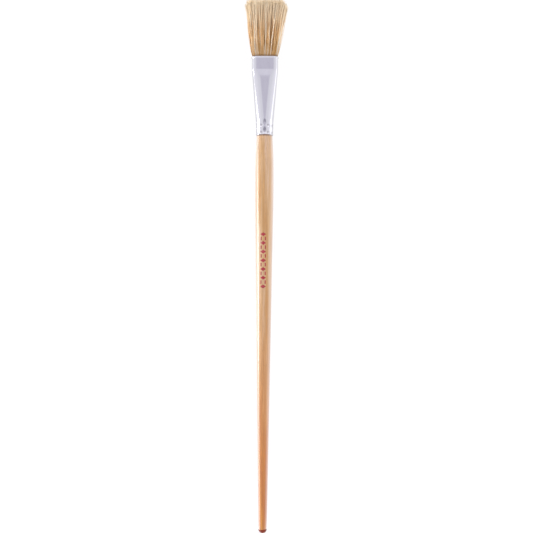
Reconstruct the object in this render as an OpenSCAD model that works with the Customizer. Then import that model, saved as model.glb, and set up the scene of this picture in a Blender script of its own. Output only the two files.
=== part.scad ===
// Long-handled flat bristle brush: turned handle, crimped ferrule, bristles set in resin.
// It lies along Y with its flat side up, bristles towards +Y, and touches Z = 0 at its belly.
// Each part is drawn upright, from the tail of the handle at Z = 0 up to the bristle tips,
// and lay_down() puts it in its place.

/* [Handle] */
// Length of the handle that shows, from its tail to the ferrule
handle_l = 253.5; // [220:0.5:300]
// Radius that the long taper starts from, at the tail
tail_r = 2.69; // [2.2:0.01:3.5]
// Radius of the belly, the thickest stretch
belly_r = 5.95; // [5.5:0.05:7]
// Length of the belly's cylindrical stretch
belly_l = 18; // [8:1:20]
// Length of the neck, which curves in from the belly to the ferrule
neck_l = 23.5; // [18:0.5:30]
// Radius that the rounding of the tail takes off the taper
tail_rounding = 0.36; // [0.1:0.02:0.6]
// Length of the tenon inside the ferrule
tenon_l = 25; // [20:0.5:26]
// Length of the tenon's tapered nose
nose_l = 16; // [14:0.5:18]
// Radius of the tenon's end
nose_r = 3.4; // [2.5:0.1:3.6]

/* [Red dip] */
// Length of the handle's end that is dipped in lacquer
dip_l = 2.4; // [2:0.1:8]
// Thickness of the lacquer
dip_film = 0.12; // [0.1:0.01:0.3]

/* [Ferrule] */
// Length of the ferrule
ferrule_l = 50; // [45:0.5:60]
// Thickness of its sheet
sheet = 0.3; // [0.25:0.05:0.5]
// Outer radius at its lower end
ferrule_r = 5.45; // [5.3:0.05:5.6]
// Outer radius where it starts to flatten
flare_r = 5.65; // [5.6:0.05:6]
// Length of the round stretch over the tenon
round_l = 8.7; // [8.3:0.1:12]
// Length of the flat band at the mouth
band_l = 8; // [6:0.5:10]
// Width of the flat band, outside
band_w = 16.7; // [14:0.1:20]
// Thickness of the flat band, outside
band_t = 6.0; // [5.4:0.1:7]
// Width of the rolled bead round the mouth
mouth_bead_w = 1; // [0.8:0.1:2]
// Height of that bead over the band
mouth_bead_h = 0.35; // [0.2:0.05:0.5]
// Width of the rolled lower rim
rim_w = 0.8; // [0.5:0.1:1.2]
// Height of that rim over the round stretch
rim_h = 0.12; // [0.08:0.02:0.25]

/* [Crimps] */
// Dents in each ring of crimps
crimp_count = 8; // [6:1:10]
// Rings of crimps
crimp_rows = 2; // [1:1:2]
// Height of the first ring over the ferrule's lower end
crimp_start = 1.8; // [1.8:0.1:2.2]
// Distance between the rings
crimp_pitch = 4.6; // [3.5:0.1:4.8]
// Width of a dent
crimp_w = 1.6; // [1.2:0.1:1.8]
// Depth of a dent
crimp_d = 0.35; // [0.2:0.05:0.4]

/* [Bristles] */
// Free length of the bristles, beyond the ferrule's mouth
bristle_l = 36.5; // [25:0.5:45]
// Width of the tuft where it is widest, near the tips
tuft_w = 26; // [20:0.5:30]
// Thickness of the tuft there
tuft_t = 8.8; // [7:0.1:11]
// Length of the tuft's rounded tips
tip_l = 6.3; // [4:0.1:9]
// Width lost to the rounding of the tips, on each side
tip_drop = 1; // [0.5:0.1:2.5]
// Depth of the bristles' roots in the ferrule
root_l = 12.5; // [9.5:0.5:13]
// Length of the resin plug that the roots are set in
plug_l = 9.5; // [6:0.5:10]

/* [Hidden] */
$fn = 96;
hull_fn = 32;
wood_clearance = 0.05;
fill_clearance = 0.08;
crimp_clearance = 0.05;
skin = 0.01;
// How far a cutter runs past the face that it starts from
past = 1;
// Half the side of a block that takes in the whole ferrule
reach = 20;

overall_l = handle_l + ferrule_l + bristle_l;
belly_end = handle_l - neck_l;
belly_start = belly_end - belly_l;
rounding_l = 5;
mouth_z = handle_l + ferrule_l;
flat_z = mouth_z - band_l;
round_end = handle_l + round_l;
tenon_r = ferrule_r - sheet - wood_clearance;
// The free tuft turns about an axis just past the mouth. Its lower end is a barrel round
// that axis, so it clears the mouth at every angle.
barrel_gap = 0.25;
barrel_r = band_t / 2 - sheet - barrel_gap;
flex_z = mouth_z + barrel_gap + barrel_r;
barrel_l = band_w - 2 * sheet;
crimp_r = crimp_w / 2;
crimp_back = crimp_d + sheet;

WOOD = [0.85, 0.66, 0.46];
RED = [0.55, 0.12, 0.09];
TIN = [0.78, 0.78, 0.82];
RESIN = [0.72, 0.55, 0.28];
ROOT = [0.62, 0.44, 0.24];
BRISTLE = [0.80, 0.64, 0.44];

// Radius of the wood at a height: a straight taper with a rounded tail, the belly and the neck.
function taper_r(z) = tail_r + (belly_r - tail_r) * z / belly_start - tail_rounding * exp(-z / rounding_l);
function neck_r(t) = tenon_r + (belly_r - tenon_r) * cos(90 * t);
// Outer radius of the ferrule's round stretch, at a height over its lower end
function round_r(z) = ferrule_r + (flare_r - ferrule_r) * z / round_l;

// Half of a dome's outline, from its pole up to its rim at height rim_z
function dome(rim_r, rim_z, pole_z) =
    [for (a = [0:10:90]) [rim_r * sin(a), rim_z - (rim_z - pole_z) * cos(a)]];
function backwards(points) = [for (k = [len(points) - 1:-1:0]) points[k]];

module lay_down() translate([0, -overall_l / 2, belly_r]) rotate([-90, 0, 0]) children();

module slab(z_from, z_to) translate([-reach, -reach, z_from])
    cube([2 * reach, 2 * reach, z_to - z_from]);

// A rectangle with round ends
module stadium(w, t) {
    square([w - t, t], center = true);
    for (side = [-1, 1]) translate([side * (w - t) / 2, 0]) circle(d = t);
}

// A round peg at each crimp, pointing outwards, of one radius and between two depths under
// the tube's outer face
module crimp_pegs(r, deep, shallow) {
    for (row = [0:crimp_rows - 1], k = [0:crimp_count - 1])
        let (z = crimp_start + row * crimp_pitch)
            rotate([0, 0, 360 * k / crimp_count])
                translate([round_r(z) - deep, 0, handle_l + z])
                    rotate([0, 90, 0]) cylinder(h = deep - shallow, r = r);
}

// The tube's shape, grown by a distance: a slightly flared round stretch, the change from
// round to flat, and the flat band at the mouth
module round_stretch(grow) translate([0, 0, handle_l])
    cylinder(h = round_l, r1 = ferrule_r + grow, r2 = flare_r + grow);
module flattening(grow) hull() {
    translate([0, 0, round_end]) cylinder(h = skin, r = flare_r + grow, $fn = hull_fn);
    translate([0, 0, flat_z - skin]) linear_extrude(skin)
        stadium(band_w + 2 * grow, band_t + 2 * grow, $fn = hull_fn);
}
module flat_band(grow) translate([0, 0, flat_z])
    linear_extrude(band_l) stadium(band_w + 2 * grow, band_t + 2 * grow);
module tube(grow) {
    round_stretch(grow);
    flattening(grow);
    flat_band(grow);
}
// The bore goes a little past both ends of the tube
module bore() {
    tube(-sheet);
    translate([0, 0, handle_l - past]) cylinder(h = past + skin, r = ferrule_r - sheet);
    translate([0, 0, mouth_z - skin]) linear_extrude(past)
        stadium(band_w - 2 * sheet, band_t - 2 * sheet);
}
module mouth_bead() translate([0, 0, mouth_z - mouth_bead_w]) linear_extrude(mouth_bead_w)
    stadium(band_w + 2 * mouth_bead_h, band_t + 2 * mouth_bead_h);
module lower_rim() translate([0, 0, handle_l]) cylinder(h = rim_w, r = ferrule_r + rim_h);

// What fills the tube between two heights, a hair smaller than the bore
module filling(z_from, z_to) intersection() {
    tube(-sheet - fill_clearance);
    slab(z_from, z_to);
}

module wood_outline() polygon(concat(
    dome(taper_r(dip_l), dip_l, dip_film),
    [for (k = [1:4]) let (z = dip_l + 1.2 * k * k) [taper_r(z), z]],
    [[belly_r, belly_start]],
    [for (t = [0:0.125:1]) [neck_r(t), belly_end + neck_l * t]],
    [
        [tenon_r, handle_l + tenon_l - nose_l],
        [nose_r, handle_l + tenon_l],
        [0, handle_l + tenon_l]
    ]
));
module handle() color(WOOD) lay_down() difference() {
    rotate_extrude() wood_outline();
    crimp_pegs(crimp_r + sheet + crimp_clearance, crimp_back + crimp_clearance, -past);
}

module end_dip() color(RED) lay_down() rotate_extrude() polygon(concat(
    dome(taper_r(dip_l) + dip_film, dip_l, 0),
    backwards(dome(taper_r(dip_l), dip_l, dip_film))
));

module ferrule() color(TIN) lay_down() difference() {
    union() {
        difference() {
            union() {
                tube(0);
                mouth_bead();
                lower_rim();
            }
            bore();
        }
        crimp_pegs(crimp_r + sheet, crimp_back, sheet / 2);
    }
    crimp_pegs(crimp_r, crimp_d, -past);
}

module setting_plug() color(RESIN) lay_down()
    filling(mouth_z - root_l - plug_l, mouth_z - root_l);

module bristle_roots() color(ROOT) lay_down()
    filling(mouth_z - root_l + skin, mouth_z);

module tuft_section(w, t, z) translate([0, 0, z]) linear_extrude(skin) stadium(w, t, $fn = hull_fn);
module bristle_tuft() color(BRISTLE) lay_down() hull() {
    translate([-barrel_l / 2, 0, flex_z]) rotate([0, 90, 0])
        cylinder(h = barrel_l, r = barrel_r, $fn = hull_fn);
    tuft_section(tuft_w, tuft_t, overall_l - tip_l);
    tuft_section(tuft_w - 2 * tip_drop, tuft_t - 2 * tip_drop, overall_l - skin);
}

handle();
end_dip();
ferrule();
setting_plug();
bristle_roots();
bristle_tuft();
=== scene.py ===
"""The looks of a long-handled flat bristle brush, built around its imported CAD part.

The brush lies along Y with its flat side up (+Z) and its bristles towards +Y. Lengths in this
file are in millimetres, measured from the tail of the handle, and place() turns them into the
frame's metres."""

import math

import bmesh
import bpy
import numpy as np
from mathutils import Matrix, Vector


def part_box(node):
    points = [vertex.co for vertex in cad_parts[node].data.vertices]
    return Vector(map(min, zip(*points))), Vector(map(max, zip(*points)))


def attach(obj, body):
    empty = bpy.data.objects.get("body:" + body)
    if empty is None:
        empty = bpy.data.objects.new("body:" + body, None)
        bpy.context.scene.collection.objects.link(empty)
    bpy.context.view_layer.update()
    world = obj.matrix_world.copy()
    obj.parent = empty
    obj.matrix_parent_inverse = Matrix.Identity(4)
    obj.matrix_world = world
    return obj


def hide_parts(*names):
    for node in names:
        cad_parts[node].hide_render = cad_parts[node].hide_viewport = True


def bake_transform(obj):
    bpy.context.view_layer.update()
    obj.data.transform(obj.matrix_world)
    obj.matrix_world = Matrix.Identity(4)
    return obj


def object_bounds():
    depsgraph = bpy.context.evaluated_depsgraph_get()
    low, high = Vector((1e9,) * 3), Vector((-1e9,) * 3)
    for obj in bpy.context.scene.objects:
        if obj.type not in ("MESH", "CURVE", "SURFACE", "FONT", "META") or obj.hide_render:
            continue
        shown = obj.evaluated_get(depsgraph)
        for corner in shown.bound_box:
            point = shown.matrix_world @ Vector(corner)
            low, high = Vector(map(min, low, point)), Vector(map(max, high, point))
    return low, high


MM = 0.001
SEED = 20

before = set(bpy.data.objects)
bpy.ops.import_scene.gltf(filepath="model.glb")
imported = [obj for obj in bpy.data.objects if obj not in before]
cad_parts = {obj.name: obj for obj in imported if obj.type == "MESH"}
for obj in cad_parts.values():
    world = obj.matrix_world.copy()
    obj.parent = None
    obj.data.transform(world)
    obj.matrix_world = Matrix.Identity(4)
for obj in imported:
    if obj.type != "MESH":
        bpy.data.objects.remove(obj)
cad_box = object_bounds()

tail_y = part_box("end_dip")[0].y
handle_low, handle_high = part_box("handle")
belly_r = (handle_high.x - handle_low.x) / 2 / MM
axis_z = (handle_high.z + handle_low.z) / 2
ferrule_low, ferrule_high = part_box("ferrule")
ferrule_start = (ferrule_low.y - tail_y) / MM
mouth = (ferrule_high.y - tail_y) / MM
tips = (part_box("bristle_tuft")[1].y - tail_y) / MM
plug_end = (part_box("setting_plug")[1].y - tail_y) / MM

# Shapes that the CAD part states, in millimetres
TAIL_R = 2.69
TAIL_ROUNDING = 0.36
ROUNDING_L = 5
DIP_L = 2.4
DIP_FILM = 0.12
BELLY_START = 212
BELLY_END = 230
TENON_R = 5.1
TENON_L = 25
NOSE_L = 16
NOSE_R = 3.4
SHEET = 0.3
FERRULE_R = 5.45
FLARE_R = 5.65
ROUND_L = 8.7
BAND_L = 8
BAND_W = 16.7
BAND_T = 6.0
BEAD_W = 1.0
BEAD_H = 0.35
RIM_W = 0.8
RIM_H = 0.12
CRIMP_COUNT = 8
CRIMP_DEPTH = 0.35


def place(points):
    """Points (across, along, up) in millimetres, up from the handle's axis, as the frame's metres."""
    points = np.asarray(points, float) * MM
    return points + np.array([0, tail_y, axis_z])


def smooth(x, low, high):
    """0 below low and 1 above high, with a smooth step between them."""
    t = np.clip((np.asarray(x, float) - low) / (high - low), 0, 1)
    return t * t * (3 - 2 * t)


# --- meshes -------------------------------------------------------------------------------


def add_piece(name, points, faces, material, outwards=True):
    """A smooth-shaded object. outwards turns its faces outwards, where they aren't already."""
    mesh = bpy.data.meshes.new(name)
    mesh.from_pydata(np.asarray(points).tolist(), [], faces)
    if outwards:
        bm = bmesh.new()
        bm.from_mesh(mesh)
        bmesh.ops.recalc_face_normals(bm, faces=bm.faces)
        bm.to_mesh(mesh)
        bm.free()
    mesh.polygons.foreach_set("use_smooth", [True] * len(mesh.polygons))
    mesh.materials.append(material)
    piece = bpy.data.objects.new(name, mesh)
    bpy.context.scene.collection.objects.link(piece)
    return piece


def add_attribute(piece, name, values):
    made = piece.data.attributes.new(name, "FLOAT", "POINT")
    made.data.foreach_set("value", np.asarray(values, np.float32))


def join_rings(count, segments, loop=False):
    """Quads between rings of equal size. loop also joins the last ring to the first one."""
    faces = []
    for i in range(count if loop else count - 1):
        a = i * segments
        b = (i + 1) % count * segments
        for k in range(segments):
            n = (k + 1) % segments
            faces.append((a + k, a + n, b + n, b + k))
    return faces


def turn_angles(segments):
    return np.arange(segments) * 2 * math.pi / segments


def lathe(name, outline, segments, material):
    """A turned solid. outline lists (along, radius) from one end to the other, and either of
    them can be a number or an array of one number for each segment."""
    angles = turn_angles(segments)
    rings = [
        np.stack([r * np.sin(angles), z + 0 * angles, r * np.cos(angles)], 1)
        for z, r in outline
    ]
    faces = join_rings(len(rings), segments)
    faces.append(tuple(range(segments)))
    last = (len(rings) - 1) * segments
    faces.append(tuple(range(last, last + segments)))
    return add_piece(name, place(np.concatenate(rings)), faces, material)


# --- materials ----------------------------------------------------------------------------


class Nodes:
    """A node tree, with short cuts for the nodes that it gets."""

    def __init__(self, owner):
        owner.use_nodes = True
        self.tree = owner.node_tree

    def node(self, kind, inputs, **settings):
        """A new node. inputs maps its sockets to values or to the outputs that feed them."""
        made = self.tree.nodes.new("ShaderNode" + kind)
        for key, value in settings.items():
            setattr(made, key, value)
        for key, value in inputs.items():
            if isinstance(value, bpy.types.NodeSocket):
                self.tree.links.new(value, made.inputs[key])
            else:
                made.inputs[key].default_value = value
        return made

    def axes(self, coordinates):
        """The X, Y and Z outputs of a kind of texture coordinates."""
        source = self.node("TexCoord", {}).outputs[coordinates]
        split = self.node("SeparateXYZ", {0: source})
        return [split.outputs[axis] for axis in "XYZ"]

    def math(self, operation, a, b=0.0):
        """The result of a Math node. An operation on one value leaves b out."""
        return self.node("Math", {0: a, 1: b}, operation=operation).outputs[0]

    def spread(self, value, low, high, to_low=0.0, to_high=1.0):
        """value, mapped smoothly from low..high to to_low..to_high."""
        inputs = {"Value": value, "From Min": low, "From Max": high}
        inputs.update({"To Min": to_low, "To Max": to_high})
        made = self.node("MapRange", inputs, interpolation_type="SMOOTHSTEP")
        return made.outputs["Result"]

    def mix(self, amount, a, b, blend="MIX"):
        """Colour a, mixed with colour b by amount."""
        made = self.node("Mix", {0: amount, 6: a, 7: b}, data_type="RGBA", blend_type=blend)
        return made.outputs[2]

    def ramp(self, value, *stops):
        """A colour ramp over value. stops are (position, colour) pairs."""
        made = self.node("ValToRGB", {"Fac": value})
        elements = made.color_ramp.elements
        while len(elements) < len(stops):
            elements.new(0.5)
        for element, (position, colour) in zip(elements, stops):
            element.position = position
            element.color = (*colour, 1)
        return made.outputs["Color"]


class Paint(Nodes):
    """A material with its principled shader, whose sockets can be set by name."""

    def __init__(self, name, **sockets):
        self.material = bpy.data.materials.new(name)
        super().__init__(self.material)
        self.shader = self.tree.nodes["Principled BSDF"]
        for socket, value in sockets.items():
            self.shader.inputs[socket.replace("_", " ")].default_value = value

    def noise(self, stretch, scale, detail=3.0, roughness=0.5):
        """Noise on the object's own coordinates, which stretch scales along each axis."""
        coordinates = self.node("TexCoord", {}).outputs["Object"]
        mapping = self.node("Mapping", {"Vector": coordinates, "Scale": stretch})
        inputs = {"Vector": mapping.outputs[0], "Scale": scale, "Detail": detail}
        inputs["Roughness"] = roughness
        return self.node("TexNoise", inputs).outputs["Fac"]

    def attribute(self, name):
        return self.node("Attribute", {}, attribute_name=name).outputs["Fac"]

    def drive(self, socket, value):
        self.tree.links.new(value, self.shader.inputs[socket])

    def bump(self, height, strength, distance):
        inputs = {"Height": height, "Strength": strength, "Distance": distance}
        self.drive("Normal", self.node("Bump", inputs).outputs["Normal"])


def lacquered_wood():
    coat = {"Coat_Weight": 1.0, "Coat_Roughness": 0.12, "Coat_IOR": 1.6}
    paint = Paint("lacquered_wood", Sheen_Weight=1.0, **coat)
    # The lacquer's haze is stronger towards the sides
    facing = paint.node("LayerWeight", {"Blend": 0.5}).outputs["Facing"]
    paint.drive("Sheen Roughness", paint.spread(facing, 0.03, 0.3, 0.29, 0.6))
    rings = paint.noise((1.0, 0.035, 1.0), 420, 4.0, 0.55)
    fibres = paint.noise((1.0, 0.02, 1.0), 2600, 2.0, 0.6)
    flecks = paint.noise((1.0, 0.12, 1.0), 3400, 0.0)
    grain = paint.ramp(
        rings,
        (0.36, (0.53, 0.265, 0.07)),
        (0.5, (0.585, 0.335, 0.13)),
        (0.64, (0.66, 0.44, 0.28)),
    )
    streaks = paint.spread(fibres, 0.35, 0.7)
    fine = paint.mix(streaks, (0.86, 0.84, 0.80, 1), (1.05, 1.05, 1.06, 1))
    wood = paint.mix(1.0, grain, fine, "MULTIPLY")
    dark = paint.spread(flecks, 0.62, 0.72, 0.0, 0.3)
    wood = paint.mix(dark, wood, (0.36, 0.19, 0.08, 1))
    # The wood is deeper and warmer towards the tail
    y = paint.axes("Object")[1]
    warm = paint.spread(y, tail_y + 180 * MM, tail_y + 20 * MM)
    wood = paint.mix(warm, wood, (0.92, 0.52, 0.0, 1), "MULTIPLY")
    # A dark line where the neck goes into the ferrule: partly grime and lacquer, partly painted shade
    # under the ferrule's edge
    edge = tail_y + ferrule_start * MM
    grime_and_painted_shade = paint.spread(y, edge - 1.3 * MM, edge - 0.3 * MM, 0.0, 0.9)
    wood = paint.mix(grime_and_painted_shade, wood, (0.20, 0.085, 0.025, 1))
    paint.drive("Base Color", wood)
    paint.drive("Roughness", paint.spread(fibres, 0.3, 0.7, 0.4, 0.56))
    paint.bump(fibres, 0.12, 0.0001)
    return paint.material


def red_lacquer():
    coat = {"Coat_Weight": 0.15, "Coat_Roughness": 0.06}
    paint = Paint("red_lacquer", Specular_IOR_Level=0.3, **coat)
    tint = paint.noise((1.0, 0.6, 1.0), 700, 3.0)
    paint.drive(
        "Base Color",
        paint.ramp(tint, (0.35, (0.17, 0.016, 0.002)), (0.7, (0.24, 0.032, 0.004))),
    )
    paint.drive("Roughness", paint.spread(tint, 0.3, 0.7, 0.25, 0.42))
    paint.bump(tint, 0.08, 0.0001)
    return paint.material


def red_ink():
    paint = Paint("red_ink", Coat_Weight=0.3, Coat_Roughness=0.1)
    tint = paint.noise((1.0, 1.0, 1.0), 2600, 3.0, 0.6)
    paint.drive(
        "Base Color",
        paint.ramp(tint, (0.3, (0.30, 0.005, 0.012)), (0.7, (0.42, 0.012, 0.025))),
    )
    paint.drive("Roughness", paint.spread(tint, 0.3, 0.7, 0.35, 0.6))
    return paint.material


def tinned_steel():
    paint = Paint("tinned_steel", Metallic=1.0)
    drawn = paint.noise((1.0, 0.03, 1.0), 1900, 3.0, 0.6)
    clouds = paint.noise((1.0, 0.5, 1.0), 260, 4.0, 0.6)
    colour = paint.ramp(clouds, (0.3, (0.635, 0.63, 0.675)), (0.7, (0.68, 0.675, 0.72)))
    lines = paint.spread(drawn, 0.35, 0.7)
    colour = paint.mix(lines, colour, (0.66, 0.655, 0.70, 1))
    # Painted shade darkens the metal in the crimps
    crimp_shade = paint.spread(paint.attribute("dent"), 0.1, 0.8, 0.0, 0.6)
    colour = paint.mix(crimp_shade, colour, (0.36, 0.34, 0.36, 1))
    paint.drive("Base Color", colour)
    smudges = paint.spread(clouds, 0.3, 0.7, 0.05, 0.09)
    rough = paint.math("ADD", smudges, paint.spread(drawn, 0.4, 0.7, 0.0, 0.04))
    paint.drive("Roughness", rough)
    paint.bump(drawn, 0.05, 0.00005)
    return paint.material


def setting_resin():
    paint = Paint("setting_resin", Coat_Weight=0.4)
    clouds = paint.noise((1.0, 1.0, 1.0), 500, 4.0)
    paint.drive(
        "Base Color",
        paint.ramp(clouds, (0.3, (0.42, 0.24, 0.07)), (0.7, (0.58, 0.38, 0.14))),
    )
    paint.drive("Roughness", paint.spread(clouds, 0.3, 0.7, 0.3, 0.5))
    paint.bump(clouds, 0.1, 0.0002)
    return paint.material


def bristle():
    """Each bristle's shade is its tone attribute. Its reach attribute runs from 0 at the ferrule's
    mouth to 1 at the tips."""
    paint = Paint("bristle", Sheen_Weight=0.2, Specular_IOR_Level=0.4)
    tone = paint.attribute("tone")
    reach = paint.attribute("reach")
    shade = paint.ramp(
        tone,
        (0.0, (0.52, 0.25, 0.055)),
        (0.3, (0.76, 0.43, 0.13)),
        (0.65, (0.95, 0.68, 0.36)),
        (1.0, (1.0, 0.93, 0.78)),
    )
    pale = paint.spread(reach, 0.3, 0.9, 0.0, 0.85)
    shade = paint.mix(pale, shade, (0.99, 0.84, 0.60, 1))
    # Darker roots by the mouth: partly a glue stain, partly painted shade
    root = paint.spread(reach, 0.0, 0.35, 0.5, 0.0)
    shade = paint.mix(root, shade, (0.34, 0.17, 0.05, 1))
    # A painted shadow line where the bristles leave the ferrule's mouth
    base = paint.spread(reach, 0.0, 0.05, 0.8, 0.0)
    shade = paint.mix(base, shade, (0.17, 0.07, 0.015, 1))
    paint.drive("Base Color", shade)
    paint.drive("Roughness", paint.spread(tone, 0.0, 1.0, 0.38, 0.55))
    return paint.material


# --- the handle ---------------------------------------------------------------------------


HANDLE_SEGMENTS = 128
HANDLE_RINGS = 130
HANDLE_CAP_STEPS = 10
DIP_SEGMENTS = 96
DIP_CAP_STEPS = 14
DIP_INNER_STEPS = 8
# The tenon keeps its radius a little way into the ferrule, and is then pressed in
TENON_STEP = (0.4, 0.7)
PRESSED_R = 4.6
NOSE_EDGE = 0.3
# How unevenly the dip's edge runs: (waves round the handle, height, phase)
DIP_WAVES = ((1, 0.16, 0.8), (3, 0.07, 0.0))
# The roll of lacquer at that edge: (height over the edge, film over the wood)
DIP_ROLL = ((-0.12, 0.13), (0.0, 0.09), (0.06, 0.03), (0.02, -0.05))
DIP_EDGE = 0.25
# How deep the dip's inner face lies in the wood, so that no gap shows
DIP_SINK = 0.06


def taper_r(z):
    """Radius of the long taper from the tail to the belly."""
    straight = TAIL_R + (belly_r - TAIL_R) * z / BELLY_START
    return straight - TAIL_ROUNDING * math.exp(-z / ROUNDING_L)


def neck_r(t):
    """Radius of the neck, at a share of its length."""
    return TENON_R + (belly_r - TENON_R) * math.cos(math.pi / 2 * t)


def wood_r(z):
    """Radius of the handle that shows, at a height."""
    if z < BELLY_START:
        return taper_r(z)
    if z < BELLY_END:
        return belly_r
    return neck_r((z - BELLY_END) / (ferrule_start - BELLY_END))


def dome(rim_r, rim_z, pole_z, steps):
    """(along, radius) of a rounded end, from just beside its pole to its rim."""
    angles = np.linspace(0.04, math.pi / 2, steps)
    return [
        (rim_z - (rim_z - pole_z) * math.cos(a), rim_r * math.sin(a)) for a in angles
    ]


def make_handle(material):
    outline = dome(taper_r(DIP_L), DIP_L, DIP_FILM, HANDLE_CAP_STEPS)
    outline += [(z, wood_r(z)) for z in np.linspace(DIP_L, ferrule_start, HANDLE_RINGS)[1:]]
    # The crimps press the tenon in, where the ferrule hides it
    for step, r in zip(TENON_STEP, (TENON_R, PRESSED_R)):
        outline.append((ferrule_start + step, r))
    tenon = ferrule_start + TENON_L
    outline.append((tenon - NOSE_L, PRESSED_R))
    outline += [(tenon - NOSE_EDGE, NOSE_R), (tenon, NOSE_R - NOSE_EDGE)]
    return lathe("turned_handle", outline, HANDLE_SEGMENTS, material)


def make_dip(material):
    """The lacquer on the end. Its edge is a low rounded roll that runs a little unevenly."""
    angles = turn_angles(DIP_SEGMENTS)
    uneven = sum(height * np.sin(waves * angles + phase) for waves, height, phase in DIP_WAVES)
    wood = taper_r(DIP_L)
    outline = dome(wood + DIP_FILM, DIP_L, 0, DIP_CAP_STEPS)
    outline += [(DIP_L + DIP_EDGE + uneven + lift, wood + film) for lift, film in DIP_ROLL]
    outline += reversed(dome(wood - DIP_SINK, DIP_L, DIP_FILM, DIP_INNER_STEPS))
    return lathe("red_dip", outline, DIP_SEGMENTS, material)


# --- the printed ornament -----------------------------------------------------------------

PRINT_START = 157.4
PRINT_PITCH = 2.75
PRINT_HALF = 1.7
PRINT_SHIFT = -0.5
INK_LIFT = 0.012
INK_FILM = 0.02
PRINT_MARKS = 13
DIAMOND_HALF = 1.25
DIAMOND_ROWS = 5
DIAMOND_REACH = 0.92
DIAMOND_STROKE = 0.34
DASH_HALF = 1.1
DASH_W = 0.7
STROKE_STEPS = 7


def ink_stroke(points, faces, start, end, wide):
    """A straight stroke of ink on the handle, between two (along, across) places."""
    start, end = np.array(start, float), np.array(end, float)
    way = (end - start) / np.linalg.norm(end - start)
    sideways = np.array([-way[1], way[0]]) * wide / 2
    first = len(points)
    for film in (INK_LIFT, INK_LIFT + INK_FILM):
        for t in np.linspace(0, 1, STROKE_STEPS):
            for side in (-1, 1):
                z, across = start + (end - start) * t + sideways * side
                r = wood_r(z) + film
                angle = across / r
                points.append((r * math.sin(angle), z, r * math.cos(angle)))
    half = 2 * STROKE_STEPS
    for i in range(STROKE_STEPS - 1):
        a = first + 2 * i
        faces.append((a, a + 2, a + 3, a + 1))
        faces.append((a + half, a + half + 1, a + half + 3, a + half + 2))
        for k in (0, 1):
            faces.append((a + k, a + k + half, a + k + 2 + half, a + k + 2))
    for a in (first, first + half - 2):
        faces.append((a, a + 1, a + 1 + half, a + half))


def ink_diamond(points, faces, z):
    """A filled diamond of ink, as strokes of falling length side by side."""
    for k in range(-DIAMOND_ROWS, DIAMOND_ROWS + 1):
        half = DIAMOND_HALF * (1 - abs(k) / (DIAMOND_ROWS + 1))
        across = PRINT_SHIFT + PRINT_HALF * DIAMOND_REACH * k / DIAMOND_ROWS
        ink_stroke(points, faces, (z - half, across), (z + half, across), DIAMOND_STROKE)


def make_print(material):
    """A plain border of filled diamonds with a pair of dashes between neighbours."""
    points, faces = [], []
    for k in range(PRINT_MARKS):
        z = PRINT_START + k * PRINT_PITCH
        if k % 2 == 0:
            ink_diamond(points, faces, z)
            continue
        for side in (-1, 1):
            across = PRINT_SHIFT + side * (PRINT_HALF - DASH_W / 2)
            ink_stroke(points, faces, (z - DASH_HALF, across), (z + DASH_HALF, across), DASH_W)
    return add_piece("printed_ornament", place(points), faces, material)


# --- the ferrule --------------------------------------------------------------------------

FERRULE_SEGMENTS = 208
# Just under the flat band the tube is thinner for its width and has a wide flat: its shoulder
SHOULDER_L = 4.6
SHOULDER_FLAT = 2.5
SHOULDER_T = 3.72
# Each bend of the tube is spread over this reach either way, less towards the mouth
BEND_REACH = (2.2, 0.5)
BEND_SPOTS = 11
# Two rings of dents, by height over the ferrule's lower end, each in a shallow groove
CRIMP_RINGS = (1.4, 5.8)
CRIMP_R = 1.1
DENT_POWER = 1.15
GROOVE_DEPTH = 0.12
GROOVE_HALF = 0.5
# Two rings of small flats, one over each gap between two dents
FLAT_RINGS = (3.1, 7.7)
FLAT_SAG = 0.09
FLAT_HALF_L = 2.2
# Nothing is pressed in higher than this
CRIMPED_L = 11
# Where the rings of the mesh stand: heights in the lower rim, then gaps between rings in the
# crimps, the tube and the shoulder, then shares of the mouth's bead
RIM_HEIGHTS = (0.02, 0.1, 0.25, 0.4, 0.55, 0.7, 0.8)
CRIMPS_FROM = 0.95
CRIMPS_GAP = 0.17
TUBE_GAP = 1.2
SHOULDER_GAP = 0.3
BEAD_SHARES = (0, 0.04, 0.15, 0.3, 0.5, 0.7, 0.85, 0.96, 1)
CHEEK_STEPS = 200


def quarter(flat, wide, thick):
    """A quarter of a section, from the side to the top: an elliptical cheek, then the flat."""
    angles = np.linspace(0, math.pi / 2, CHEEK_STEPS)
    cheek = np.stack([flat + wide * np.cos(angles), thick * np.sin(angles)], 1)
    line = np.concatenate([cheek, [[0, thick]]])
    steps = np.linalg.norm(np.diff(line, axis=0), axis=1)
    reach = np.concatenate([[0], np.cumsum(steps)])
    wanted = np.linspace(0, reach[-1], FERRULE_SEGMENTS // 4 + 1)
    return np.stack([np.interp(wanted, reach, line[:, i]) for i in (0, 1)], 1)


def section(flat, wide, thick):
    """A whole section, as (across, up), made from its quarter."""
    part = quarter(flat, wide, thick)
    left = part[::-1] * [-1, 1]
    top = np.concatenate([part, left[1:]])
    return np.concatenate([top, top[::-1][1:-1] * [1, -1]])


def tube_at(z):
    """(half flat, half width, half thickness) of the ferrule's outside, at a height."""
    round_end = ferrule_start + ROUND_L
    flat_start = mouth - BAND_L
    shoulder = flat_start - SHOULDER_L
    if z <= round_end:
        r = FERRULE_R + (FLARE_R - FERRULE_R) * (z - ferrule_start) / ROUND_L
        return 0.0, r, r
    half_w, half_t = BAND_W / 2, BAND_T / 2
    bends = [round_end, shoulder, flat_start]
    flat = np.interp(z, bends, [0.0, SHOULDER_FLAT, half_w - half_t])
    thick = np.interp(z, bends, [FLARE_R, SHOULDER_T, half_t])
    width = np.interp(z, [round_end, flat_start], [FLARE_R, half_w])
    return flat, width, thick


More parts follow.
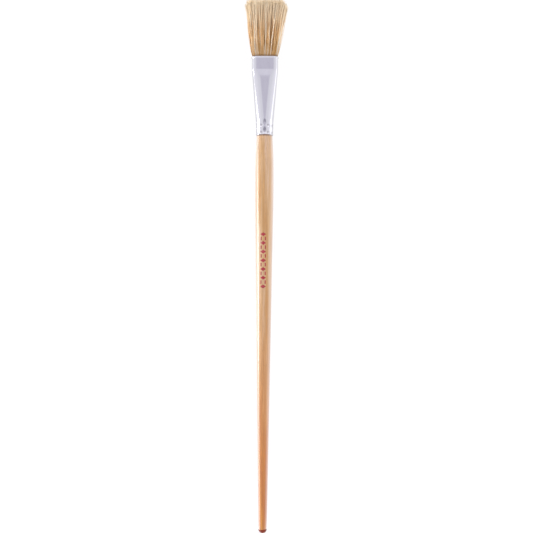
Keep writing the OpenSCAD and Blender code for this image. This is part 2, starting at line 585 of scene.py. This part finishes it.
def soft_tube_at(z):
    """tube_at, averaged over a length that shrinks towards the mouth: it softens the bends."""
    flat_start = mouth - BAND_L
    reach = np.interp(z, [flat_start - SHOULDER_L - 2, flat_start - 1], BEND_REACH)
    spots = np.array([tube_at(z + d) for d in np.linspace(-reach, reach, BEND_SPOTS)])
    return spots.mean(0)


def roll(z, start, width, height):
    """Height of a half-round roll that starts at a height along the ferrule."""
    t = np.clip((z - start) / width * 2 - 1, -1, 1)
    return height * math.sqrt(1 - t * t)


def dents(above, off):
    """How deep in a crimp each point of a ring is, from 0 to 1. above is the ring's height over
    the lower end, and off is each point's angle from the nearest crimp."""
    across = FERRULE_R * np.sin(off)
    depth = np.zeros(len(off))
    for ring in CRIMP_RINGS:
        distance = np.sqrt(across**2 + (above - ring) ** 2) / CRIMP_R
        depth += np.clip(1 - distance**2, 0, 1) ** DENT_POWER
    return depth


def crimped(above, off, depth):
    """How much of its radius the round stretch keeps: each ring of dents is in a shallow groove,
    and pressing them leaves a small flat over each gap between two dents."""
    kept = 1 - CRIMP_DEPTH / FERRULE_R * depth
    for ring in CRIMP_RINGS:
        groove = math.exp(-(((above - ring) / GROOVE_HALF) ** 2))
        kept -= GROOVE_DEPTH / FERRULE_R * groove
    from_gap = math.pi / CRIMP_COUNT - np.abs(off)
    for ring in FLAT_RINGS:
        sag = FLAT_SAG * (1 - ((above - ring) / FLAT_HALF_L) ** 2)
        if sag > 0:
            kept = np.minimum(kept, (1 - sag / FERRULE_R) / np.cos(from_gap))
    return kept


def ferrule_ring(z, inwards):
    """One ring of the ferrule's outside, or of its inside, and how deep in a crimp each point is."""
    flat, width, thick = soft_tube_at(z)
    grow = -inwards
    if not inwards:
        grow += roll(z, mouth - BEAD_W, BEAD_W, BEAD_H)
        grow += roll(z, ferrule_start, RIM_W, RIM_H)
    outline = section(flat, width - flat + grow, thick + grow)
    above = z - ferrule_start
    pitch = 2 * math.pi / CRIMP_COUNT
    off = np.arctan2(outline[:, 0], outline[:, 1]) % pitch - pitch / 2
    depth = dents(above, off)
    if above < CRIMPED_L:
        outline = outline * crimped(above, off, depth)[:, None]
    return np.stack([outline[:, 0], np.full(len(outline), z), outline[:, 1]], 1), depth


def make_ferrule(material):
    """The tube's outside from its lower end to the mouth, and its inside back down again."""
    crimps_end = ferrule_start + ROUND_L + 3
    shoulder_start = mouth - BAND_L - 6
    heights = np.concatenate(
        [
            ferrule_start + np.array(RIM_HEIGHTS),
            np.arange(ferrule_start + CRIMPS_FROM, crimps_end, CRIMPS_GAP),
            np.arange(crimps_end, shoulder_start, TUBE_GAP),
            np.arange(shoulder_start, mouth - BEAD_W - 0.1, SHOULDER_GAP),
            mouth - BEAD_W + BEAD_W * np.array(BEAD_SHARES),
        ]
    )
    inner = np.concatenate([heights[-1:], heights[-5:-1:2][::-1], heights[:-9:2][::-1]])
    made = [ferrule_ring(z, 0) for z in heights]
    made += [ferrule_ring(z, SHEET) for z in inner]
    rings, depths = zip(*made)
    faces = join_rings(len(rings), FERRULE_SEGMENTS, loop=True)
    piece = add_piece("tin_ferrule", place(np.concatenate(rings)), faces, material)
    add_attribute(piece, "dent", np.concatenate(depths))
    return piece


# --- the bristles -------------------------------------------------------------------------

PIECES = 5
HAIR_SIDES = 5
FLAG_SIDES = 3
# How closely and how unevenly the bristles are packed in the mouth
BRISTLE_GAP = 0.207
BORE_MARGIN = 0.12
UNEVEN = 0.05
# How the tuft widens: all along, and more over a short flare past the mouth
FAN = 0.0204
FLARE = 0.045
FLARE_L = 3
# How far the tips lean to one side
LEAN = 1.2
LEAN_POWER = 1.4
# The locks: their number across and up, their reach either way, and how unevenly they stand
LOCK_GRID = (32, 6)
LOCK_REACH = (7.7, 2.2)
LOCK_SHIFT = 0.25
LOCK_UNEVEN = (0.16, 0.2)
# A bristle joins the nearest lock, and heights count for less than widths
LOCK_SHAPE = (1.0, 0.8)
# How much closer a lock's bristles get, and over what length past the mouth
LOCK_DRAW = (0.3, 0.68)
DRAW_L = (0.5, 20)
# How far, as (across, up), the locks and the single bristles drift by their tips. A few wild
# bristles drift several times as far.
LOCK_DRIFT = (0.55, 0.45)
HAIR_DRIFT = (0.32, 0.28)
DRIFT_POWER = 1.6
WILD_SHARE = 0.02
WILD_DRIFT = 4.5
# How they wave: (size, fewest turns, most turns), growing over a length past the mouth
LOCK_WAVE = (0.34, 0.7, 1.5)
HAIR_WAVE = (0.07, 1.2, 2.8)
WAVE_L = 8
# The tuft's outline: how far its corners drop, and from where to where across
TIP_RISE = 0.2
LEFT_DROP = 3.4
LEFT_CORNER = (9.8, 12.8)
RIGHT_DROP = 4.0
RIGHT_CORNER = (9.8, 14.6)
# How much shorter than that outline they are
LOCK_SHORT = 0.45
HAIR_SHORT = 0.5
SHORT_SHARE = 0.12
SHORT_BY = (0.5, 6)
FACE_DROP = 1.6
FACE_UP = 2.6
# A bristle's radius at the mouth, what it loses towards the tips, and the share left at its end
HAIR_R = (0.085, 0.125)
HAIR_THINNING = 0.42
THINNING_POWER = 1.5
END_SHARE = 0.35
# The shades: mean and spread by lock, spread by bristle, and how much paler the sides are
LOCK_TONE = (0.5, 0.26)
HAIR_TONE = 0.17
SIDE_TONE = 0.32
TONE_SHIFT = -0.08
SIDE_REACH = 8.0
# Where the rings of a bristle's mesh stand, as shares of its free length
RING_SHARES = (0.0, 0.03, 0.09, 0.17, 0.26, 0.36, 0.46, 0.56, 0.66, 0.76, 0.85, 0.93, 1.0)
# The split ends: where their rings stand, how thin they get, how they bend, and their shade
FLAG_STEPS = (0.05, 0.4, 0.75, 1.1)
FLAG_THIN = (0.62, 0.5, 0.4, 0.2)
FLAG_BEND = (0.28, 0.1, 0.24)
FLAG_AHEAD = 0.12
FLAG_UNEVEN = (0.1, 0.5)
FLAG_TONE = 0.18
FLAG_REACH = (0, 0.05, 0.1, 0.15)
# Where the straight roots begin over the resin, and end under the mouth
ROOT_START = 0.05
ROOT_END = 1.0
# The colour map of a piece of bristles: two rows of cells, one cell to a bristle
MAP_SIDE = 256
CELLS_ACROSS = 252
CELLS_LEFT = 2
ROW_H = 0.5
CELL_FOOT = 0.02
CELL_H = 0.46


def bore_places(random):
    """Where the bristles stand in the mouth: a close, slightly uneven packing, as (across, up)."""
    half_w = BAND_W / 2 - SHEET - BORE_MARGIN
    half_t = BAND_T / 2 - SHEET - BORE_MARGIN
    row_gap = BRISTLE_GAP * math.sqrt(3) / 2
    rows = int(half_t / row_gap)
    places = []
    for row in range(-rows, rows + 1):
        up = row * row_gap
        reach = half_w - half_t + math.sqrt(half_t**2 - up**2)
        for x in np.arange(-half_w + row % 2 * BRISTLE_GAP / 2, half_w, BRISTLE_GAP):
            if abs(x) <= reach:
                places.append((x, up))
    places = np.array(places)
    return places + random.uniform(-UNEVEN, UNEVEN, places.shape)


def lock_centres(random):
    """Centres of the locks that the bristles draw together in, as (across, up) in the mouth."""
    xs, ups = [
        np.linspace(-reach, reach, number) for reach, number in zip(LOCK_REACH, LOCK_GRID)
    ]
    grid = np.array([(x + LOCK_SHIFT * (k % 2), up) for k, up in enumerate(ups) for x in xs])
    return grid + random.normal(0, 1, grid.shape) * LOCK_UNEVEN


def tip_height(x):
    """How far from the mouth a bristle ends, by how far across it ends: the corners are lower."""
    left = LEFT_DROP * smooth(-x, *LEFT_CORNER)
    right = RIGHT_DROP * smooth(x, *RIGHT_CORNER)
    return tips - mouth + TIP_RISE - left - right


def strands(lines, radii, sides):
    """Closed tubes around lines, an array of (strand, ring, xyz), with a radius for each ring."""
    tangents = np.gradient(lines, axis=1)
    tangents /= np.linalg.norm(tangents, axis=2, keepdims=True)
    across = np.cross(tangents, [0.0, 0.0, 1.0])
    across /= np.linalg.norm(across, axis=2, keepdims=True)
    over = np.cross(across, tangents)
    turns = np.arange(sides) * 2 * math.pi / sides
    spokes = (
        np.cos(turns)[:, None] * across[:, :, None] + np.sin(turns)[:, None] * over[:, :, None]
    )
    return lines[:, :, None] + spokes * radii[:, :, None, None]


def strand_faces(count, rings, sides, first):
    """Quads, then end caps, of count tubes whose points start at first."""
    base = first + np.arange(count)[:, None, None] * rings * sides
    ring = np.arange(rings - 1)[None, :, None] * sides
    k = np.arange(sides)[None, None, :]
    n = (k + 1) % sides
    quads = np.stack(
        [base + ring + k, base + ring + n, base + ring + sides + n, base + ring + sides + k], 3
    ).reshape(-1, 4)
    start = first + np.arange(count) * rings * sides
    caps = start[:, None] + np.arange(sides)[::-1]
    ends = start[:, None] + (rings - 1) * sides + np.arange(sides)
    return quads, np.concatenate([caps, ends])


def waviness(random, count, size, fewest, most):
    """How locks or bristles wave: how far, in how many turns, and from what phase."""
    wave = random.normal(0, 1, (count, 2)) * size
    turns = random.uniform(fewest, most, (count, 1))
    phase = random.uniform(0, 2 * math.pi, (count, 2))
    return wave, turns, phase


def free_lengths(random, places, across, lock, locks):
    """How long each bristle is past the mouth, by its place and by how far across it ends."""
    count = len(places)
    length = tip_height(across)
    length -= np.abs(random.normal(0, LOCK_SHORT, locks))[lock]
    length -= np.abs(random.normal(0, HAIR_SHORT, count))
    short = random.uniform(0, 1, count) < SHORT_SHARE
    length[short] -= random.uniform(*SHORT_BY, short.sum())
    # The tuft's flat faces round over a little at the tips
    length -= FACE_DROP * (np.abs(places[:, 1]) / FACE_UP) ** 3
    return length


def root_lines(places):
    """The straight stretches of the bristles between the resin and the mouth."""
    heights = (plug_end + ROOT_START, mouth - ROOT_END)
    ends = [np.stack([places[:, 0], np.full(len(places), z), places[:, 1]], 1) for z in heights]
    return np.stack(ends, 1)


def bristle_tones(random, places, lock, locks):
    """Each bristle's shade: it follows its lock, and the sides of the tuft are paler."""
    tone = random.normal(*LOCK_TONE, locks)[lock] + random.normal(0, HAIR_TONE, len(places))
    side = np.abs(places[:, 0]) / SIDE_REACH
    tone += SIDE_TONE * side**2 + TONE_SHIFT
    return np.clip(tone, 0, 1)


def bristle_lines(random):
    """Centre lines of all the bristles, from the resin to their tips, with their radii, tones and
    the reach of each ring, which runs from 0 at the mouth to 1 at the tips."""
    places = bore_places(random)
    centres = lock_centres(random)
    count, locks = len(places), len(centres)
    gaps = np.linalg.norm((places[:, None] - centres[None]) * LOCK_SHAPE, axis=2)
    lock = gaps.argmin(1)
    centre = centres[lock]
    offset = places - centre

    draw = random.uniform(*LOCK_DRAW, locks)[lock]
    lock_drift = (random.normal(0, 1, (locks, 2)) * LOCK_DRIFT)[lock]
    hair_drift = random.normal(0, 1, (count, 2)) * HAIR_DRIFT
    wild = random.uniform(0, 1, count) < WILD_SHARE
    hair_drift[wild] *= WILD_DRIFT
    lock_waves = [part[lock] for part in waviness(random, locks, *LOCK_WAVE)]
    hair_waves = waviness(random, count, *HAIR_WAVE)

    ends = places * (1 + FAN * (tips - mouth)) + lock_drift
    length = free_lengths(random, places, ends[:, 0] + LEAN, lock, locks)

    # s is each ring's height over the mouth, and full its share of the whole tuft's height
    s = np.array(RING_SHARES)[None, :, None] * length[:, None, None]
    full = s / (tips - mouth)
    fan = 1 + FAN * s + FLARE * smooth(s, 0, FLARE_L)
    gather = 1 - draw[:, None, None] * smooth(s, *DRAW_L)
    spot = centre[:, None] * fan + offset[:, None] * fan * gather
    spot = spot + (lock_drift + hair_drift)[:, None] * full**DRIFT_POWER
    for wave, turns, phase in (lock_waves, hair_waves):
        angle = 2 * math.pi * turns[:, None] * full + phase[:, None]
        swing = np.sin(angle) - np.sin(phase[:, None])
        spot = spot + wave[:, None] * swing * smooth(s, 0, WAVE_L)
    spot[:, :, 0] += LEAN * full[:, :, 0] ** LEAN_POWER
    free = np.stack([spot[:, :, 0], mouth + s[:, :, 0], spot[:, :, 1]], 2)

    lines = np.concatenate([root_lines(places), free], 1)
    reach = np.concatenate([np.zeros((count, 2)), full[:, :, 0]], 1)
    thick = random.uniform(*HAIR_R, (count, 1))
    radii = thick * (1 - HAIR_THINNING * np.clip(reach, 0, 1) ** THINNING_POWER)
    radii[:, -1] *= END_SHARE
    return lines, radii, bristle_tones(random, places, lock, locks), reach


def flag_lines(lines, radii, random):
    """Two fine split ends for each bristle, which leave it near its tip and spread."""
    before = lines[:, -3]
    way = lines[:, -1] - before
    groups = []
    for _ in range(2):
        bend = random.normal(0, 1, (len(lines), 3)) * FLAG_BEND
        ahead = random.uniform(*FLAG_UNEVEN, (len(lines), 1))
        spots = [
            before + way * t + bend * t * t + way * FLAG_AHEAD * ahead * t * t for t in FLAG_STEPS
        ]
        groups.append(np.stack(spots, 1))
    thin = np.array(FLAG_THIN) * np.tile(radii[:, -3], 2)[:, None]
    return np.concatenate(groups), thin


def cell_uv(cells, reach, sides):
    """Each bristle has its own cell of the colour map: its length runs up it."""
    column = (cells % CELLS_ACROSS + CELLS_LEFT) / MAP_SIDE
    foot = cells // CELLS_ACROSS * ROW_H + CELL_FOOT
    v = foot[:, None] + np.clip(reach, 0, 1) * CELL_H
    left = np.broadcast_to(column[:, None, None], (len(cells), reach.shape[1] - 1, sides))
    below = np.broadcast_to(v[:, :-1, None], left.shape)
    above = np.broadcast_to(v[:, 1:, None], left.shape)
    right = left + 1 / MAP_SIDE
    quads = np.stack([left, below, right, below, right, above, left, above], 3).reshape(-1, 2)
    middle = column + 0.5 / MAP_SIDE
    caps = [np.repeat(np.stack([middle, v[:, ring]], 1), sides, 0) for ring in (0, -1)]
    return quads, np.concatenate(caps)


def add_bristles(name, groups, material):
    """One piece of many strands. groups hold (lines, radii, tone, reach, cells, sides)."""
    points, quads, caps, tones, reaches, quad_uv, cap_uv = [], [], [], [], [], [], []
    first = 0
    for lines, radii, tone, reach, cells, sides in groups:
        count, rings = lines.shape[:2]
        points.append(strands(lines, radii, sides).reshape(-1, 3))
        q, c = strand_faces(count, rings, sides, first)
        quads += q.tolist()
        caps += c.tolist()
        tones.append(np.repeat(tone, rings * sides))
        reaches.append(np.repeat(reach.reshape(-1), sides))
        uv_quads, uv_caps = cell_uv(cells, reach, sides)
        quad_uv.append(uv_quads)
        cap_uv.append(uv_caps)
        first += count * rings * sides
    piece = add_piece(name, place(np.concatenate(points)), quads + caps, material, False)
    add_attribute(piece, "tone", np.concatenate(tones))
    add_attribute(piece, "reach", np.concatenate(reaches))
    layer = piece.data.uv_layers.new(name="OFBake")
    layer.data.foreach_set("uv", np.concatenate(quad_uv + cap_uv).astype(np.float32).reshape(-1))
    return piece


def make_bristles(material):
    """All the bristles, dealt out in turn to a few pieces, so that none gets too heavy."""
    random = np.random.RandomState(SEED)
    lines, radii, tone, reach = bristle_lines(random)
    flags, thin = flag_lines(lines, radii, random)
    count = len(lines)
    flag_tone = np.clip(np.tile(tone, 2) + FLAG_TONE, 0, 1)
    flag_reach = np.tile(reach[:, -3], 2)[:, None] + np.array(FLAG_REACH)
    pieces = []
    for k in range(PIECES):
        mine = np.arange(k, count, PIECES)
        both = np.concatenate([mine, mine + count])
        cells = np.arange(len(mine))
        cells_twice = np.tile(cells, 2)
        groups = [
            (lines[mine], radii[mine], tone[mine], reach[mine], cells, HAIR_SIDES),
            (flags[both], thin[both], flag_tone[both], flag_reach[both], cells_twice, FLAG_SIDES),
        ]
        pieces.append(add_bristles(f"bristles_{k + 1}", groups, material))
    return pieces


# --- the stage ----------------------------------------------------------------------------

# In metres
FLOOR_DROP = 0.018
FLOOR_HALF = 3.0
CAMERA_UP = 0.48
CAMERA_ASIDE = 0.00165
# Where the light changes along the brush: (from, to, its colour beyond)
SKY_BANDS = (
    (0.40, 0.50, (0.93, 0.91, 0.99, 1)),
    (0.56, 0.8, (1.9, 1.88, 1.96, 1)),
    (-0.3, -0.5, (0.98, 0.97, 1.03, 1)),
)


def make_world():
    """Soft studio light: a dim cool strip overhead with a dark core, light on both sides of it and
    more beyond the bristles, a bright box low on the left, a weaker one on the right, and white
    all round near the horizon."""
    world = bpy.data.worlds.new("studio")
    bpy.context.scene.world = world
    sky = Nodes(world)
    x, y, z = sky.axes("Generated")
    aside = sky.math("ABSOLUTE", x)
    light = sky.ramp(
        aside,
        (0.06, (0.76, 0.735, 0.83)),
        (0.17, (0.93, 0.92, 0.98)),
        (0.5, (0.97, 0.965, 1.01)),
        (0.9, (1.10, 1.09, 1.14)),
    )
    for low, high, colour in SKY_BANDS:
        light = sky.mix(sky.spread(y, low, high), light, colour)
    core = sky.spread(aside, 0.06, 0.03)
    for low, high in ((0.22, 0.165), (0.0, 0.06)):
        core = sky.math("MULTIPLY", core, sky.spread(y, low, high))
    light = sky.mix(core, light, (0.42, 0.41, 0.47, 1))
    light = sky.mix(sky.spread(z, 0.35, 0.08), light, (1.2, 1.2, 1.24, 1))
    # The box on the left ends beside the ferrule's mouth
    left = sky.spread(y, 0.268, 0.235, 0.0, 12.0)
    for low, high, strength in ((-0.980, -0.990, left), (0.965, 0.98, 0.5)):
        box = sky.spread(x, low, high, 0.0, strength)
        light = sky.node("VectorMath", {0: light, 1: box}).outputs[0]
    sky.tree.links.new(light, sky.tree.nodes["Background"].inputs["Color"])


def glowing_floor():
    """It glows more to both sides of the brush, and most on the left, up to the ferrule's mouth."""
    colours = {"Base_Color": (0.14, 0.14, 0.14, 1), "Emission_Color": (1, 1, 1, 1)}
    paint = Paint("pale_floor", Roughness=1.0, **colours)
    x, y, _ = paint.axes("Object")
    glow = paint.spread(y, 0.136, 0.118, 1.2, 6.0)
    left = paint.spread(x, -0.08, -0.17, 0.86, glow)
    right = paint.spread(x, 0.06, 0.12, 0.0, 0.5)
    paint.drive("Emission Strength", paint.math("ADD", left, right))
    return paint.material


def make_floor():
    mesh = bpy.data.meshes.new("floor")
    level = cad_box[0][2] - FLOOR_DROP
    signs = ((-1, -1), (1, -1), (1, 1), (-1, 1))
    corners = [(x * FLOOR_HALF, y * FLOOR_HALF, level) for x, y in signs]
    mesh.from_pydata(corners, [], [(0, 1, 2, 3)])
    mesh.materials.append(glowing_floor())
    floor = bpy.data.objects.new("floor", mesh)
    bpy.context.scene.collection.objects.link(floor)


def make_camera():
    data = bpy.data.cameras.new("camera")
    data.sensor_width = 36
    data.lens = 50.82
    data.clip_start = 0.01
    camera = bpy.data.objects.new("camera", data)
    camera.location = (CAMERA_ASIDE, 0, axis_z + CAMERA_UP)
    camera.rotation_euler = (0, 0, math.radians(0.3))
    bpy.context.scene.collection.objects.link(camera)
    bpy.context.scene.camera = camera


# --- putting it together ------------------------------------------------------------------

bpy.context.scene.view_settings.view_transform = "Standard"
make_camera()
make_world()
make_floor()

wood, dip_red, ink = lacquered_wood(), red_lacquer(), red_ink()
tin, resin, hair = tinned_steel(), setting_resin(), bristle()

handle = make_handle(wood)
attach(handle, "grip")
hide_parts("handle")

dip = make_dip(dip_red)
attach(dip, "grip")
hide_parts("end_dip")

ornament = make_print(ink)
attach(ornament, "grip")

ferrule = make_ferrule(tin)
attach(ferrule, "grip")
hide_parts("ferrule")

bristles = make_bristles(hair)
for piece in bristles:
    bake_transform(piece)
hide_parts("bristle_tuft", "bristle_roots")

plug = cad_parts["setting_plug"]
plug.data.materials.clear()
plug.data.materials.append(resin)
